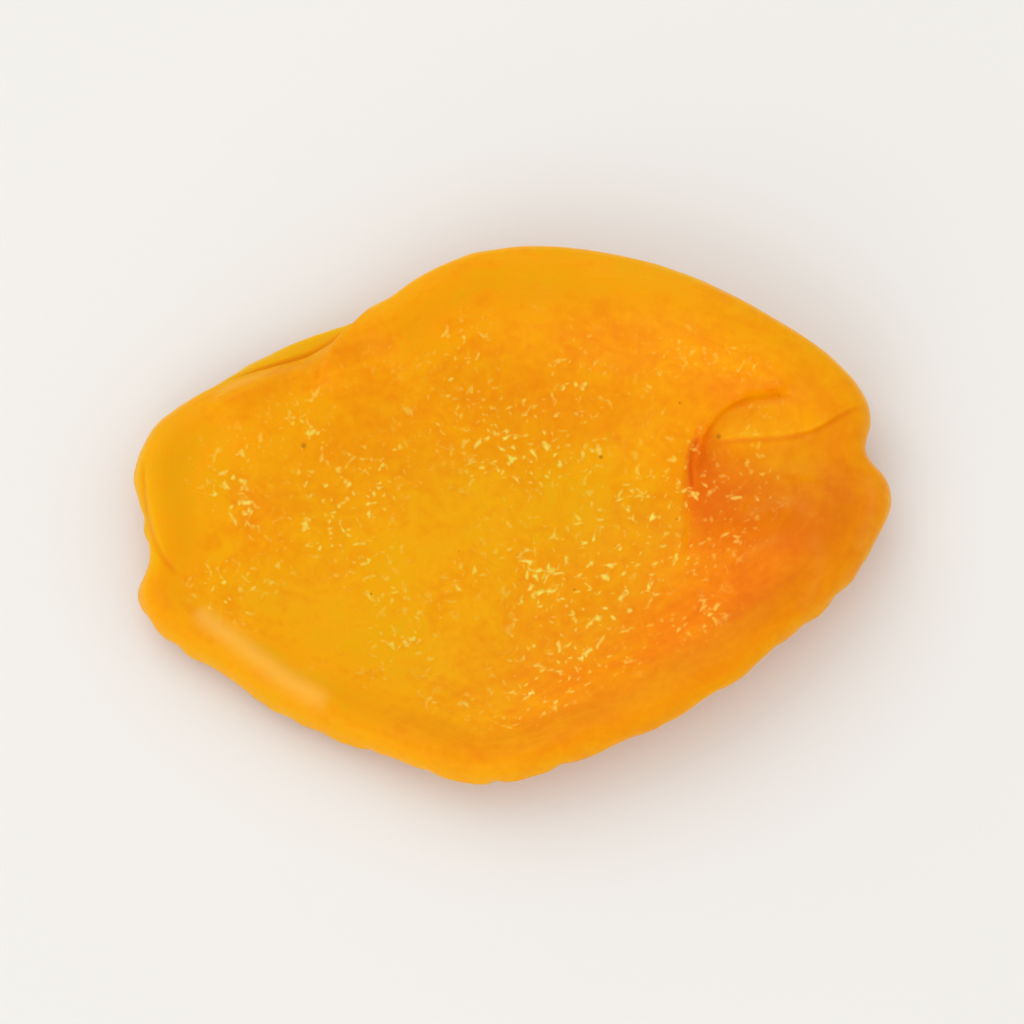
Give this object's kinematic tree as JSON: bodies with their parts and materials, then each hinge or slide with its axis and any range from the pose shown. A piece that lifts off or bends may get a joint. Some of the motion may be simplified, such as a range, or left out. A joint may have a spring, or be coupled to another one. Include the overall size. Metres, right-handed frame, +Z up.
{
  "type": "dried apricot half",
  "caption": "Dried apricot half with its stone removed, cut face up: a shallow dish of flesh with a soft, curled-in rim folded over itself at one end.",
  "frame": {"origin": "on the surface the fruit rests on, under the middle of its bounding box", "axes": "+Z up, out of the cut face; +X along the fruit towards its folded end; +Y across it towards the broad lip"},
  "size_m": [0.044, 0.0324, 0.006],
  "materials": {
    "apricot_flesh": "soft, slightly sticky, translucent orange flesh with a satin skin"
  },
  "bodies": {
    "root": {"dried_apricot_half": "apricot_flesh"}
  },
  "joints": []
}
